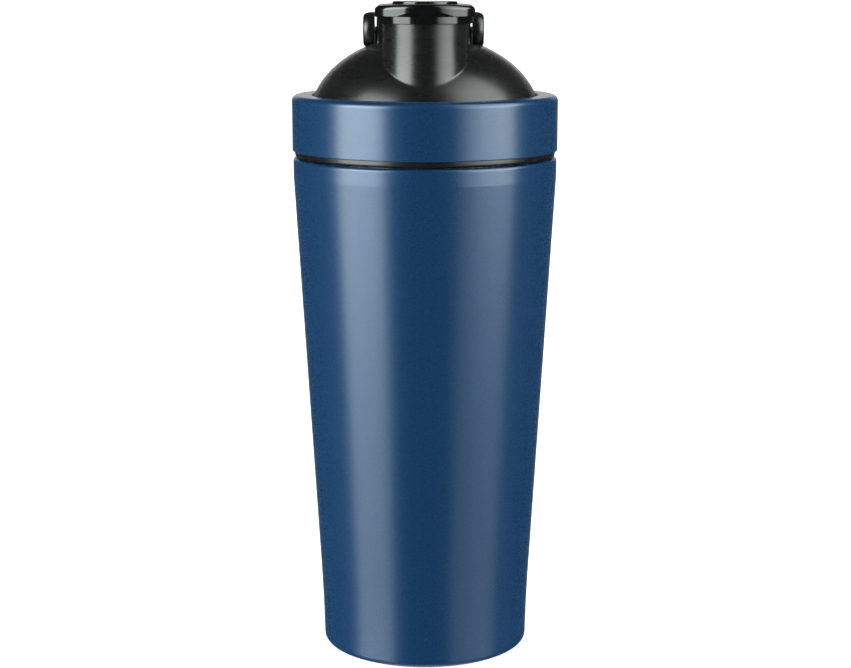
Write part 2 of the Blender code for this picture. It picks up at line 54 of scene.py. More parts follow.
def joint_place(name):
    """Where a joint of the frame sits."""
    return next(Vector(j["pos_m"]) for j in frame["joints"] if j["name"] == name)


# ---------------------------------------------------------------- sizes from the frame

SHELL_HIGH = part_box("outer_shell")[1]
LINER_LOW, LINER_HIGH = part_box("inner_liner")
PLATE_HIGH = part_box("base_plate")[1]
COLLAR_LOW, COLLAR_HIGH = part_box("collar_ring")
LID_LOW, LID_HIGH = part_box("lid_body")
GASKET_LOW, GASKET_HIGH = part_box("lid_gasket")
CAP_LOW, CAP_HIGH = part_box("flip_cap")
SEAL_LOW, SEAL_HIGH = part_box("cap_seal")
PIN_LOW, PIN_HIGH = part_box("hinge_pin")
LOOP_LOW, LOOP_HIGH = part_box("carry_loop")

# The clearance between pieces, the thickness of the sheet steel, and how far a cutting tool sticks
# out past what it cuts.
GAP = 0.3 * MM
SHEET = 0.6 * MM
OVERCUT = 1 * MM

# Cup. The wall's radius shrinks by TAPER per unit of height. Below EASE_TOP it shrinks less: the
# square of the depth below it, times EASE_RATE, is added back.
BAND_RADIUS = SHELL_HIGH.x
SHOULDER_TOP = SHELL_HIGH.z
BAND_BOTTOM = SHOULDER_TOP - 6.1 * MM
SHOULDER_CORNER = 1.1 * MM
TAPER = 0.0594
EASE_TOP = 27.9 * MM
EASE_RATE = 0.74
HEEL_RADIUS = 2.2 * MM
FOOT_INNER_RADIUS = PLATE_HIGH.x + GAP
RIM_TOP = LINER_HIGH.z
LINER_BOTTOM = LINER_LOW.z
NECK_RADIUS = 42.6 * MM
NECK_BOTTOM = 163 * MM
LINER_CORNER = 6 * MM
LINER_MIDDLE = 2 * MM
PLATE_FLANGE = 1.6 * MM
PLATE_MIDDLE = 1 * MM
PLATE_RING_RADIUS = 21 * MM
PLATE_RING_HALF = 2 * MM
PLATE_RING_DEPTH = 0.5 * MM

# Screw thread. The crest's half width and the shoulders' are shares of the tip's width.
THREAD_LEAD = 8 * MM
THREAD_STARTS = 2
THREAD_SPAN = math.radians(270)
THREAD_STEPS = 96
THREAD_FADE = 0.08
THREAD_ROOT_WIDTH = 1.6 * MM
THREAD_TIP_WIDTH = 0.8 * MM
THREAD_HEIGHT = 1.3 * MM
THREAD_CREST_SHARE = 0.35
THREAD_SHOULDER_SHARE = 0.625
THREAD_SHOULDER_DROP = 0.14
NECK_THREAD_START = SHOULDER_TOP + 4.5 * MM

# Lid. The skirt reaches a little lower than the CAD's, which hides the bare neck in the gap below it.
SKIRT_RADIUS = LID_HIGH.x
SKIRT_BOTTOM = LID_LOW.z - 0.25 * MM
SKIRT_BORE = GASKET_HIGH.x + GAP
SKIRT_CORNER = 1 * MM
COLLAR_RADIUS = COLLAR_HIGH.x
COLLAR_TOP = COLLAR_HIGH.z
COLLAR_BOTTOM = COLLAR_LOW.z
COLLAR_CORNER = 2 * MM
COLLAR_OPENING = 40.4 * MM
DOME_RADIUS = 41.3 * MM
DOME_RISE = 29.9 * MM
DOME_CENTRE = COLLAR_TOP - 8.8 * MM
FLAT_TOP = DOME_CENTRE + 26.7 * MM
FLAT_MIDDLE = 3 * MM
FLANGE_TOP = COLLAR_TOP - SHEET - GAP
CAVITY_RADIUS = 38.6 * MM
CAVITY_RISE = 27.6 * MM
CAVITY_CEILING = FLAT_TOP - 4.8 * MM
PLUG_RING_RADIUS = 40.2 * MM
PLUG_RING_BOTTOM = RIM_TOP - 3.5 * MM
GASKET_SEAT = GASKET_HIGH.z + GAP
GASKET_EDGE = 0.35 * MM
GASKET_RIB = 0.25 * MM

# Spout.
SPOUT_Y = (SEAL_LOW.y + SEAL_HIGH.y) / 2
SPOUT_RADIUS = 14.6 * MM
SPOUT_BORE = 13 * MM
SPOUT_TOP = LID_HIGH.z
SPOUT_LIP = 0.8 * MM
SPOUT_FILLET = 0.5 * MM
FILLET_SINK = 0.05 * MM

# Hinge, a little to one side of the spout.
HINGE = joint_place("cap_swing")
HINGE.x = (PIN_LOW.x + PIN_HIGH.x) / 2
PIN_RADIUS = (PIN_HIGH.z - PIN_LOW.z) / 2
PIN_HALF_LENGTH = (PIN_HIGH.x - PIN_LOW.x) / 2
PIN_CHAMFER = 0.3 * MM
PIN_HOLE_RADIUS = PIN_RADIUS + GAP
LUG_INNER = 13.6 * MM
LUG_OUTER = 16.75 * MM
LUG_RADIUS = 4.5 * MM
LUG_ROUNDING = 0.9 * MM
SHOULDER_HALF = 3.6 * MM
SHOULDER_EDGE = 0.3 * MM

# Flip cap.
CAP_SKIRT_RADIUS = 16.66 * MM
CAP_SKIRT_BORE = 15.7 * MM
CAP_SKIRT_BOTTOM = SEAL_LOW.z - 0.1 * MM
CAP_CEILING = SEAL_HIGH.z + GAP
CAP_HALF_WIDTH = CAP_HIGH.x
CAP_FRONT = CAP_LOW.y
CAP_BACK = 0.2 * MM
CAP_FRONT_RADIUS = 22 * MM
CAP_CORNER = 2.2 * MM
CAP_LEAST_CORNER = 0.4 * MM
CAP_UNDERSIDE = CAP_SKIRT_BOTTOM + 2.4 * MM
CAP_EDGE_TOP = CAP_UNDERSIDE + 3.65 * MM
CAP_CROWN = 0.7 * MM
CAP_BEVEL = 1.4 * MM
CAP_EDGE = 0.25 * MM
CAP_SKIRT_EDGE = 0.2 * MM
CAP_CEILING_CORNER = 0.6 * MM
PAD_RADIUS = 11.2 * MM
PAD_CORNER = 0.45 * MM
PAD_TOP = CAP_HIGH.z
PAD_CAMBER = 0.1 * MM
ARCH_HALF_WIDTH = 10.5 * MM
ARCH_HEIGHT = 2 * MM
ARCH_STEPS = 60
ARCH_OVERRUN = 1.06
CAP_KNUCKLE_RADIUS = HINGE.z - CAP_LOW.z
CAP_KNUCKLE_HALF = 13.2 * MM
PLUG_TAPER = 1.1 * MM
PLUG_EDGE = 0.5 * MM
PLUG_RIPPLE = 0.12 * MM

# Carry loop.
LOOP_OUTER = (LOOP_HIGH.x - LOOP_LOW.x) / 2
LOOP_INNER = LOOP_OUTER - 4 * MM
LOOP_KNUCKLE_RADIUS = LOOP_HIGH.z - HINGE.z
KNUCKLE_EDGE = 1.5 * MM
KNUCKLE_CROWN = 2.8 * MM
KNUCKLE_INNER_EDGE = 0.2 * MM
LOOP_ROUNDING = 1.2 * MM
LOOP_REACH = 41.5 * MM
LOOP_CORNER = 7 * MM
LOOP_TILT = math.radians(8)
LOOP_BEND = math.radians(6) / (40 * MM)
LOOP_WIDTH = 3.2 * MM
LOOP_ROOT_HEIGHT = 7.6 * MM
LOOP_BAR_HEIGHT = 5.8 * MM

# Mixing ball.
WIRE_RADIUS = 0.8 * MM
BALL_RADIUS = 16.2 * MM
BALL_Z = LINER_BOTTOM + SHEET + GAP + BALL_RADIUS + WIRE_RADIUS
BALL_TURNS = 6
BALL_POLE = math.radians(14)
BALL_TILT = math.radians(62)
WIRE_TIP = 0.05 * MM

# Studio. Angles are in degrees: azimuth from 0 in front of the bottle to +90 on its +X side, and
# elevation above the horizon. A ramp is the two angles it runs between and its values at them.
LEFT_SPAN = (-80, -36)
LEFT_SOFTNESS = 2
LEFT_POWER = (-19.5, -10, 3.0, 10.2)
LEFT_TOP = (35, 53, 1.0, 0.03)
RIGHT_INNER_SIDE = (27, 31, 0, 1)
RIGHT_OUTER_SIDE = (80, 84, 1, 0)
RIGHT_WIDENING = (5, 35, 0, 20)
RIGHT_POWER = (-12, -10.5, 1.1, 7.4)
RIGHT_TOP = (46, 78, 1.0, 0.03)
RIGHT_EVEN_BELOW = (-20, -17)
RIGHT_SHADING = (18, 60, 0.0, 1.0)
CORE_SPAN = (2, 26)
CORE_SOFTNESS = 3
CORE_GAIN = 0.8
GROUND_FADE = (-44, -31, 0.05, 1.0)
TABLE_GLOW = (-70, -52, 1.2, 0.0)
BACKDROP_SIDES = (145, 178, 0, 1)
BACKDROP_FOOT = (1.5, 5, 0.15, 1.3)
BACKDROP_TOP = (9, 20, 1.0, 0.05)
DARK_ROOM = 0.04
MATT_BASE = 0.33
MATT_SIDES = 1.3
MATT_LEAN = -0.2
FLOOR_RADIUS = 30

# Camera.
CAMERA_PLACE = (0.2 * MM, -697.6 * MM, 246.8 * MM)
CAMERA_TIP = math.radians(10.71)
CAMERA_LENS = 82.12
CAMERA_FILM = 36

# Fineness.
TURN_STEPS = 240
SMALL_TURN_STEPS = 144
KNUCKLE_STEPS = 96
PIN_STEPS = 48
WIRE_STEPS = 16
SUPPORT = 0.2 * MM
SHARP_ANGLE = math.radians(30)


# ---------------------------------------------------------------- mesh tools

def arc(centre, radius, start, end, steps):
    """Points of an arc, angles in degrees from the first axis towards the second."""
    points = []
    for i in range(steps + 1):
        angle = math.radians(start + (end - start) * i / steps)
        points.append((centre[0] + radius * math.cos(angle), centre[1] + radius * math.sin(angle)))
    return points


def with_supports(outline):
    """The outline with extra points close to the ends of its long straight stretches, which keeps
    the smooth shading of rounded edges from spilling over flat faces."""
    points = []
    for a, b in zip(outline, outline[1:]):
        points.append(a)
        length = math.dist(a, b)
        if length > 4 * SUPPORT:
            for share in (SUPPORT / length, 1 - SUPPORT / length):
                points.append((a[0] + (b[0] - a[0]) * share, a[1] + (b[1] - a[1]) * share))
    points.append(outline[-1])
    return points


def circle(radius, height, steps, centre_y=0.0):
    """A level ring of points about an upright axis."""
    ring = []
    for i in range(steps):
        angle = math.tau * i / steps
        ring.append((radius * math.cos(angle), centre_y + radius * math.sin(angle), height))
    return ring


def skin(name, rings, looped=False):
    """A solid through rings of equally many points: capped at both ends, or looped end to end."""
    bm = bmesh.new()
    loops = [[bm.verts.new(point) for point in ring] for ring in rings]
    pairs = list(zip(loops, loops[1:]))
    if looped:
        pairs.append((loops[-1], loops[0]))
    else:
        bm.faces.new(loops[0])
        bm.faces.new(loops[-1])
    for lower, upper in pairs:
        for i in range(len(lower)):
            j = (i + 1) % len(lower)
            bm.faces.new((lower[i], lower[j], upper[j], upper[i]))
    bmesh.ops.recalc_face_normals(bm, faces=bm.faces)
    mesh = bpy.data.meshes.new(name)
    bm.to_mesh(mesh)
    bm.free()
    obj = bpy.data.objects.new(name, mesh)
    bpy.context.scene.collection.objects.link(obj)
    smooth(obj)
    return obj


def smooth(obj):
    """Smooth shading, with the sharp corners left sharp."""
    obj.data.shade_smooth()
    obj.data.set_sharp_from_angle(angle=SHARP_ANGLE)


def turned(name, outline, steps=TURN_STEPS, centre_y=0.0):
    """A solid of revolution whose outline of (radius, height) points has flat discs at both ends."""
    return skin(name, [circle(r, z, steps, centre_y) for r, z in with_supports(outline)])


def turned_tube(name, outline):
    """A ring-shaped solid of revolution: the outline closes on itself."""
    closed = with_supports(outline + outline[:1])[:-1]
    return skin(name, [circle(r, z, TURN_STEPS) for r, z in closed], looped=True)


def cross_rod(name, stations, steps=KNUCKLE_STEPS):
    """A rod along X about the hinge axis, through (x, radius) stations."""
    rings = []
    for x, radius in with_supports(stations):
        rings.append([(x, y, z) for y, z in arc((HINGE.y, HINGE.z), radius, 0, 360, steps)[:-1]])
    return skin(name, rings)


def across(name, profile, low_x, high_x):
    """A profile of (y, z) points extruded along X."""
    return skin(name, [[(x, y, z) for y, z in profile] for x in (low_x, high_x)])


def combine(target, operation, *tools):
    """Boolean the tools into the target one after the other, and drop them."""
    for tool in tools:
        modifier = target.modifiers.new("combine", "BOOLEAN")
        modifier.operation = operation
        modifier.solver = "EXACT"
        modifier.object = tool
        evaluated = target.evaluated_get(bpy.context.evaluated_depsgraph_get())
        mesh = bpy.data.meshes.new_from_object(evaluated)
        target.modifiers.remove(modifier)
        old = target.data
        target.data = mesh
        bpy.data.meshes.remove(old)
        bpy.data.objects.remove(tool, do_unlink=True)
    smooth(target)


def place(obj, material, body, node):
    """Give a piece its material, the body it moves with, and the CAD node it stands for."""
    obj.data.materials.clear()
    obj.data.materials.append(material)
    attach(obj, body)
    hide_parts(node)
    return obj


# ---------------------------------------------------------------- node tools

def add_node(tree, kind, inputs=None, **settings):
    """A shader node, with each input set to a value or linked to another node's socket."""
    node = tree.nodes.new(kind)
    for key, value in settings.items():
        setattr(node, key, value)
    for key, value in (inputs or {}).items():
        if isinstance(value, bpy.types.NodeSocket):
            tree.links.new(value, node.inputs[key])
        else:
            node.inputs[key].default_value = value
    return node


def math_node(tree, operation, *values):
    """The result of one maths operation on values or sockets."""
    return add_node(tree, "ShaderNodeMath", dict(enumerate(values)), operation=operation).outputs[0]


def remap(tree, value, from_low, from_high, to_low, to_high, kind="SMOOTHSTEP"):
    """Carry one range of a value over to another, held at both ends."""
    inputs = {
        "Value": value,
        "From Min": from_low,
        "From Max": from_high,
        "To Min": to_low,
        "To Max": to_high,
    }
    node = add_node(tree, "ShaderNodeMapRange", inputs, interpolation_type=kind)
    return node.outputs["Result"]


def object_coordinates(tree, stretch=(1, 1, 1)):
    """Coordinates in metres that stay on the piece when it moves."""
    coordinates = add_node(tree, "ShaderNodeTexCoord").outputs["Object"]
    return add_node(tree, "ShaderNodeMapping", {"Vector": coordinates, "Scale": stretch}).outputs[0]


def noise(tree, vector, scale, detail, roughness=0.5):
    """Cloudy noise around 0.5, with scale cells to a metre."""
    inputs = {"Vector": vector, "Scale": scale, "Detail": detail, "Roughness": roughness}
    return add_node(tree, "ShaderNodeTexNoise", inputs).outputs["Fac"]


def mix_colour(tree, factor, first, second):
    """A colour between two, for a factor of 0 to 1."""
    node = add_node(tree, "ShaderNodeMix", data_type="RGBA")
    for socket, value in zip((node.inputs[0], node.inputs[6], node.inputs[7]), (factor, first, second)):
        if isinstance(value, bpy.types.NodeSocket):
            tree.links.new(value, socket)
        else:
            socket.default_value = value
    return node.outputs[2]


def bump(tree, height, depth, below=None):
    """Normals of a relief that is depth high, on top of the relief below."""
    inputs = {"Height": height, "Distance": depth, "Strength": 1.0}
    if below is not None:
        inputs["Normal"] = below
    return add_node(tree, "ShaderNodeBump", inputs).outputs["Normal"]


def start_material(name):
    """A new material, its node tree and its main shader."""
    material = bpy.data.materials.new(name)
    material.use_nodes = True
    tree = material.node_tree
    return material, tree, tree.nodes["Principled BSDF"]


def set_shader(tree, shader, **inputs):
    """Set or link the shader's inputs, written with _ for each space in their names."""
    for key, value in inputs.items():
        socket = shader.inputs[key.replace("_", " ")]
        if isinstance(value, bpy.types.NodeSocket):
            tree.links.new(value, socket)
        else:
            socket.default_value = value


# ---------------------------------------------------------------- materials

def make_paint():
    """Baked blue powder coat: a soft orange peel, fine grain and slight colour drift."""
    material, tree, shader = start_material("blue_powder_coat")
    place_in = object_coordinates(tree)
    drift = noise(tree, place_in, scale=45, detail=4)
    peel = noise(tree, place_in, scale=650, detail=2)
    grain = noise(tree, place_in, scale=4200, detail=2)
    colour = mix_colour(tree, drift, (0.0050, 0.052, 0.150, 1), (0.0062, 0.060, 0.168, 1))
    normal = bump(tree, grain, depth=0.002 * MM, below=bump(tree, peel, depth=0.010 * MM))
    set_shader(
        tree, shader,
        Base_Color=colour,
        Roughness=remap(tree, grain, 0.3, 0.7, 0.25, 0.30, "LINEAR"),
        Specular_Tint=(0.84, 0.94, 0.90, 1),
        Normal=normal,
    )
    return material


def make_black(name, base, rough_low, rough_high, grain_depth):
    """Moulded black plastic with a fine spark-eroded grain and faint flow marks."""
    material, tree, shader = start_material(name)
    place_in = object_coordinates(tree)
    grain = noise(tree, place_in, scale=3800, detail=3)
    flow = noise(tree, object_coordinates(tree, (1, 1, 3)), scale=90, detail=3)
    darker = tuple(channel * 0.82 for channel in base)
    set_shader(
        tree, shader,
        Base_Color=mix_colour(tree, flow, (*darker, 1), (*base, 1)),
        Roughness=remap(tree, flow, 0.3, 0.7, rough_low, rough_high, "LINEAR"),
        Specular_IOR_Level=0.37,
        Specular_Tint=(0.90, 0.95, 0.94, 1),
        Normal=bump(tree, grain, grain_depth),
    )
    return material


def make_silicone():
    """Soft matt silicone with fine dust and a slight sheen."""
    material, tree, shader = start_material("grey_silicone")
    place_in = object_coordinates(tree)
    dust = noise(tree, place_in, scale=1500, detail=5)
    set_shader(
        tree, shader,
        Base_Color=mix_colour(tree, dust, (0.060, 0.062, 0.066, 1), (0.085, 0.087, 0.092, 1)),
        Roughness=remap(tree, dust, 0.3, 0.7, 0.52, 0.66, "LINEAR"),
        Sheen_Weight=0.15,
        Normal=bump(tree, dust, depth=0.01 * MM),
    )
    return material


def make_drawn_wire():
    """Bare stainless steel as it comes from the die, with fine marks and faint stains."""
    material, tree, shader = start_material("drawn_wire")
    place_in = object_coordinates(tree)
    marks = noise(tree, place_in, scale=900, detail=6, roughness=0.65)
    stain = noise(tree, place_in, scale=60, detail=3)
    set_shader(
        tree, shader,
        Base_Color=mix_colour(tree, stain, (0.40, 0.41, 0.42, 1), (0.48, 0.48, 0.47, 1)),
        Metallic=1.0,
        Roughness=remap(tree, marks, 0.3, 0.7, 0.18, 0.3, "LINEAR"),
        Normal=bump(tree, marks, depth=0.004 * MM),
    )
    return material


def make_spun_steel():
    """Sheet steel polished on a lathe, with rings about the bottle's axis."""
    material, tree, shader = start_material("spun_steel")
    coordinates = add_node(tree, "ShaderNodeTexCoord").outputs["Object"]
    split = add_node(tree, "ShaderNodeSeparateXYZ", {"Vector": coordinates}).outputs
    squares = [math_node(tree, "MULTIPLY", split[i], split[i]) for i in (0, 1)]
    radius = math_node(tree, "SQRT", math_node(tree, "ADD", *squares))
    rings_at = add_node(tree, "ShaderNodeCombineXYZ", {"X": radius, "Y": split[2]}).outputs[0]
    rings = noise(tree, rings_at, scale=2600, detail=4, roughness=0.6)
    set_shader(
        tree, shader,
        Base_Color=mix_colour(tree, rings, (0.38, 0.39, 0.40, 1), (0.50, 0.50, 0.49, 1)),
        Metallic=1.0,
        Roughness=remap(tree, rings, 0.3, 0.7, 0.22, 0.36, "LINEAR"),
        Anisotropic=0.6,
        Normal=bump(tree, rings, depth=0.006 * MM),
    )
    return material


# ---------------------------------------------------------------- cup

def cup_radius(height):
    """Outside radius of the tapered wall; the taper eases off towards the foot."""
    radius = BAND_RADIUS - TAPER * (BAND_BOTTOM - height)
    return radius + EASE_RATE * max(0.0, EASE_TOP - height) ** 2


def build_shell(paint):
    """The painted outer shell: a turned sheet from the neck's opening over the shoulder to the foot."""
    wall_steps = 8
    ease_steps = 14
    bend = 1.5 * MM
    heights = [BAND_BOTTOM + bend, BAND_BOTTOM, BAND_BOTTOM - bend]
    heights += [EASE_TOP + (BAND_BOTTOM - EASE_TOP) * i / wall_steps for i in range(wall_steps - 1, -1, -1)]
    for i in range(1, ease_steps):
        heights.append(HEEL_RADIUS + (EASE_TOP - HEEL_RADIUS) * (1 - i / ease_steps))
    radii = [min(BAND_RADIUS, cup_radius(z)) for z in heights]
    corner = (BAND_RADIUS - SHOULDER_CORNER, SHOULDER_TOP - SHOULDER_CORNER)
    heel = (cup_radius(HEEL_RADIUS) - HEEL_RADIUS, HEEL_RADIUS)
    opening = NECK_RADIUS + GAP
    lip = SHEET / 3
    outline = arc((opening + lip, SHOULDER_TOP - lip), lip, 180, 90, 4)
    outline += arc(corner, SHOULDER_CORNER, 90, 0, 10)
    outline += list(zip(radii, heights))
    outline += arc(heel, HEEL_RADIUS, 0, -90, 14)
    outline += [(FOOT_INNER_RADIUS, 0), (FOOT_INNER_RADIUS, SHEET)]
    outline += arc(heel, HEEL_RADIUS - SHEET, -90, 0, 8)
    outline += [(radius - SHEET, z) for radius, z in zip(reversed(radii), reversed(heights))]
    outline += arc(corner, SHOULDER_CORNER - SHEET, 0, 90, 4)
    outline += [(opening, SHOULDER_TOP - SHEET)]
    shell = turned_tube("cup_shell", outline)
    return place(shell, paint, "cup", "outer_shell")


def thread_ridges(root_radius, tip_radius, start_height):
    """One solid per start: a rounded ridge along a helix, fading into its wall at both ends."""
    inwards = math.copysign(1, root_radius - tip_radius)
    sunk = root_radius + inwards * GAP
    flush = root_radius + inwards * GAP / 3
    root = THREAD_ROOT_WIDTH / 2
    crest = THREAD_TIP_WIDTH * THREAD_CREST_SHARE
    shoulder = THREAD_TIP_WIDTH * THREAD_SHOULDER_SHARE
    ridges = []
    for start in range(THREAD_STARTS):
        rings = []
        for i in range(THREAD_STEPS + 1):
            along = i / THREAD_STEPS
            angle = start * math.tau / THREAD_STARTS + along * THREAD_SPAN
            height = start_height + THREAD_LEAD * along * THREAD_SPAN / math.tau
            rise = min(1.0, along / THREAD_FADE, (1 - along) / THREAD_FADE)
            tip = flush + (tip_radius - flush) * math.sin(rise * math.pi / 2)
            shy = tip + (sunk - tip) * THREAD_SHOULDER_DROP
            section = [(sunk, -root), (shy, -shoulder), (tip, -crest)]
            section += [(r, -z) for r, z in reversed(section)]
            rings.append([(r * math.cos(angle), r * math.sin(angle), height + z) for r, z in section])
        ridges.append(skin("ridge", rings))
    return ridges


def build_liner(steel):
    """The inner cup: a turned sheet with a rounded rim and the male thread on its neck."""
    corner_height = LINER_BOTTOM + LINER_CORNER
    wall_radius = NECK_RADIUS - TAPER * (NECK_BOTTOM - corner_height)
    corner = (wall_radius - LINER_CORNER, corner_height)
    rim = (NECK_RADIUS - SHEET / 2, RIM_TOP - SHEET / 2)
    outline = [(LINER_MIDDLE, LINER_BOTTOM), (wall_radius / 2, LINER_BOTTOM)]
    outline += arc(corner, LINER_CORNER, -90, 0, 14)
    outline += [(NECK_RADIUS, NECK_BOTTOM)]
    outline += arc(rim, SHEET / 2, 0, 180, 10)
    outline += [(NECK_RADIUS - SHEET, NECK_BOTTOM)]
    outline += arc(corner, LINER_CORNER - SHEET, 0, -90, 14)
    outline += [(wall_radius / 2, LINER_BOTTOM + SHEET), (LINER_MIDDLE, LINER_BOTTOM + SHEET)]
    liner = turned("cup_liner", outline)
    tip = NECK_RADIUS + THREAD_HEIGHT
    combine(liner, "UNION", *thread_ridges(NECK_RADIUS, tip, NECK_THREAD_START))
    return place(liner, steel, "cup", "inner_liner")


def build_base(steel):
    """The pressed base, with a shallow stiffening ring."""
    rim = PLATE_HIGH.x
    top = PLATE_HIGH.z
    low = top - SHEET

    def wave(height, direction):
        """The ring's cross-section, outwards for a direction of 1 and inwards for -1."""
        steps = 12
        points = []
        for i in range(steps + 1):
            share = i / steps
            radius = PLATE_RING_RADIUS + direction * PLATE_RING_HALF * (2 * share - 1)
            points.append((radius, height - PLATE_RING_DEPTH * math.sin(share * math.pi) ** 2))
        return points

    outline = [(PLATE_MIDDLE, low)] + wave(low, 1)
    outline += [
        (rim - SHEET - PLATE_FLANGE, low),
        (rim - SHEET, PLATE_FLANGE - SHEET),
        (rim - SHEET, GAP),
        (rim, GAP),
    ]
    outline += arc((rim - PLATE_FLANGE, top - PLATE_FLANGE), PLATE_FLANGE, 0, 90, 8)
    outline += wave(top, -1) + [(PLATE_MIDDLE, top)]
    return place(turned("cup_base", outline), steel, "cup", "base_plate")


# ---------------------------------------------------------------- lid

def dome_arc(radius, rise, low, high, steps):
    """(radius, height) points of the dome's ellipse between two heights, from low to high."""
    start = math.asin((low - DOME_CENTRE) / rise)
    end = math.asin((high - DOME_CENTRE) / rise)
    points = []
    for i in range(steps + 1):
        angle = start + (end - start) * i / steps
        points.append((radius * math.cos(angle), DOME_CENTRE + rise * math.sin(angle)))
    return points


def dome_height(x, y):
    """Height of the lid's outer surface at a place in plan."""
    share = min(1.0, math.hypot(x, y) / DOME_RADIUS)
    return min(FLAT_TOP, DOME_CENTRE + DOME_RISE * math.sqrt(1 - share * share))


def build_collar(paint):
    """The painted ring around the lid: a turned sheet whose top edge is turned inwards."""
    corner = (COLLAR_RADIUS - COLLAR_CORNER, COLLAR_TOP - COLLAR_CORNER)
    edge = SHEET / 2
    outline = arc((COLLAR_OPENING + edge, COLLAR_TOP - edge), edge, 180, 90, 5)
    outline += arc(corner, COLLAR_CORNER, 90, 0, 12)
    outline += arc((COLLAR_RADIUS - edge, COLLAR_BOTTOM + edge), edge, 0, -180, 8)
    outline += arc(corner, COLLAR_CORNER - SHEET, 0, 90, 6)
    outline += arc((COLLAR_OPENING + edge, COLLAR_TOP - edge), edge, 270, 180, 5)[:-1]
    collar = turned_tube("lid_collar", outline)
    return place(collar, paint, "lid", "collar_ring")


def spout_solid():
    """The spout's outside: an upright tube with a rounded lip and a small fillet onto the dome."""
    steps = SMALL_TURN_STEPS
    foot_steps = 6
    buried = CAVITY_CEILING - 15 * MM
    rings = [circle(SPOUT_RADIUS + SPOUT_FILLET, buried, steps, SPOUT_Y)]
    for i in range(foot_steps + 1):
        turn = math.pi / 2 * i / foot_steps
        radius = SPOUT_RADIUS + SPOUT_FILLET * (1 - math.sin(turn))
        lift = SPOUT_FILLET * (1 - math.cos(turn)) - FILLET_SINK
        ring = []
        for x, y, _ in circle(radius, 0, steps, SPOUT_Y):
            ring.append((x, y, dome_height(x, y) + lift))
        rings.append(ring)
    straight = FLAT_TOP + SPOUT_FILLET + 1 * MM
    lip = (SPOUT_RADIUS - SPOUT_LIP, SPOUT_TOP - SPOUT_LIP)
    upper = [(SPOUT_RADIUS, straight)] + arc(lip, SPOUT_LIP, 0, 90, 8)
    rings += [circle(r, z, steps, SPOUT_Y) for r, z in with_supports(upper)]
    return skin("spout_solid", rings)


def build_lug(side):
    """A hinge lug with a round top, rounded edges on its outer face, and its foot in the dome."""
    foot = (FLAT_TOP + CAVITY_CEILING) / 2
    rings = []
    stations = [(LUG_INNER, 0.0)]
    for out, drawn_in in arc((LUG_OUTER - LUG_ROUNDING, LUG_ROUNDING), LUG_ROUNDING, -90, 0, 8):
        stations.append((out, drawn_in))
    for out, drawn_in in stations:
        half = LUG_RADIUS - drawn_in
        profile = [(HINGE.y + half, foot)] + arc((HINGE.y, HINGE.z), half, 0, 180, 48)
        profile += [(HINGE.y - half, foot)]
        rings.append([(HINGE.x + side * out, y, z) for y, z in profile])
    return skin("lug", rings)


def build_shoulder(side):
    """A low shoulder outside a lug, with rounded edges, that keeps the carry loop in its place."""
    foot = (FLAT_TOP + CAVITY_CEILING) / 2
    rings = []
    half = SHOULDER_HALF
    edge_height = HINGE.z - SHOULDER_EDGE
    for out in ((LUG_INNER + LUG_OUTER) / 2, LOOP_INNER):
        profile = [(HINGE.y + half, foot)]
        profile += arc((HINGE.y + half - SHOULDER_EDGE, edge_height), SHOULDER_EDGE, 0, 90, 5)
        profile += arc((HINGE.y - half + SHOULDER_EDGE, edge_height), SHOULDER_EDGE, 90, 180, 5)
        profile += [(HINGE.y - half, foot)]
        rings.append([(HINGE.x + side * out, y, z) for y, z in profile])
    return skin("shoulder", rings)


def build_lid(plastic):
    """The lid's moulding: dome, spout, lugs and shoulders, hollowed out, with the female thread."""
    skirt_corner = (SKIRT_RADIUS - SKIRT_CORNER, SKIRT_BOTTOM + SKIRT_CORNER)
    edge = COLLAR_CORNER / 2
    outside = arc(skirt_corner, SKIRT_CORNER, -90, 0, 10)
    outside += arc((SKIRT_RADIUS - edge, FLANGE_TOP - edge), edge, 0, 90, 6)
    outside += dome_arc(DOME_RADIUS, DOME_RISE, FLANGE_TOP, FLAT_TOP, 56)
    outside += [(FLAT_MIDDLE, FLAT_TOP)]
    lid = turned("lid_moulding", outside)
    combine(lid, "UNION", spout_solid(), build_lug(-1), build_lug(1))
    combine(lid, "UNION", build_shoulder(-1), build_shoulder(1))

    below = SKIRT_BOTTOM - 2 * OVERCUT
    inside = [(SKIRT_BORE, below), (SKIRT_BORE, GASKET_SEAT), (PLUG_RING_RADIUS, GASKET_SEAT)]
    inside += [(PLUG_RING_RADIUS, PLUG_RING_BOTTOM), (CAVITY_RADIUS, PLUG_RING_BOTTOM)]
    inside += dome_arc(CAVITY_RADIUS, CAVITY_RISE, DOME_CENTRE, CAVITY_CEILING, 24)
    cavity = turned("cavity", inside)
    lip = (SPOUT_BORE + SPOUT_LIP, SPOUT_TOP - SPOUT_LIP)
    bore_line = [(SPOUT_BORE, PLUG_RING_BOTTOM)] + arc(lip, SPOUT_LIP, 180, 95, 8)
    bore_line += [(SPOUT_BORE + SPOUT_LIP, SPOUT_TOP + OVERCUT)]
    bore = turned("bore", bore_line, SMALL_TURN_STEPS, SPOUT_Y)
    scoop_radius = LOOP_KNUCKLE_RADIUS + GAP
    scoops = []
    for side in (-1, 1):
        near = HINGE.x + side * (LOOP_INNER - GAP)
        far = HINGE.x + side * (LOOP_OUTER + 5 * OVERCUT)
        scoops.append(cross_rod("scoop", [(near, scoop_radius), (far, scoop_radius)]))
    reach = LOOP_INNER + OVERCUT
    pin_hole = cross_rod("hole", [(-reach, PIN_HOLE_RADIUS), (reach, PIN_HOLE_RADIUS)])
    combine(lid, "DIFFERENCE", cavity, bore, pin_hole, *scoops)

    start = NECK_THREAD_START + THREAD_LEAD / THREAD_STARTS / 2
    combine(lid, "UNION", *thread_ridges(SKIRT_BORE, SKIRT_BORE - THREAD_HEIGHT, start))
    return place(lid, plastic, "lid", "lid_body")


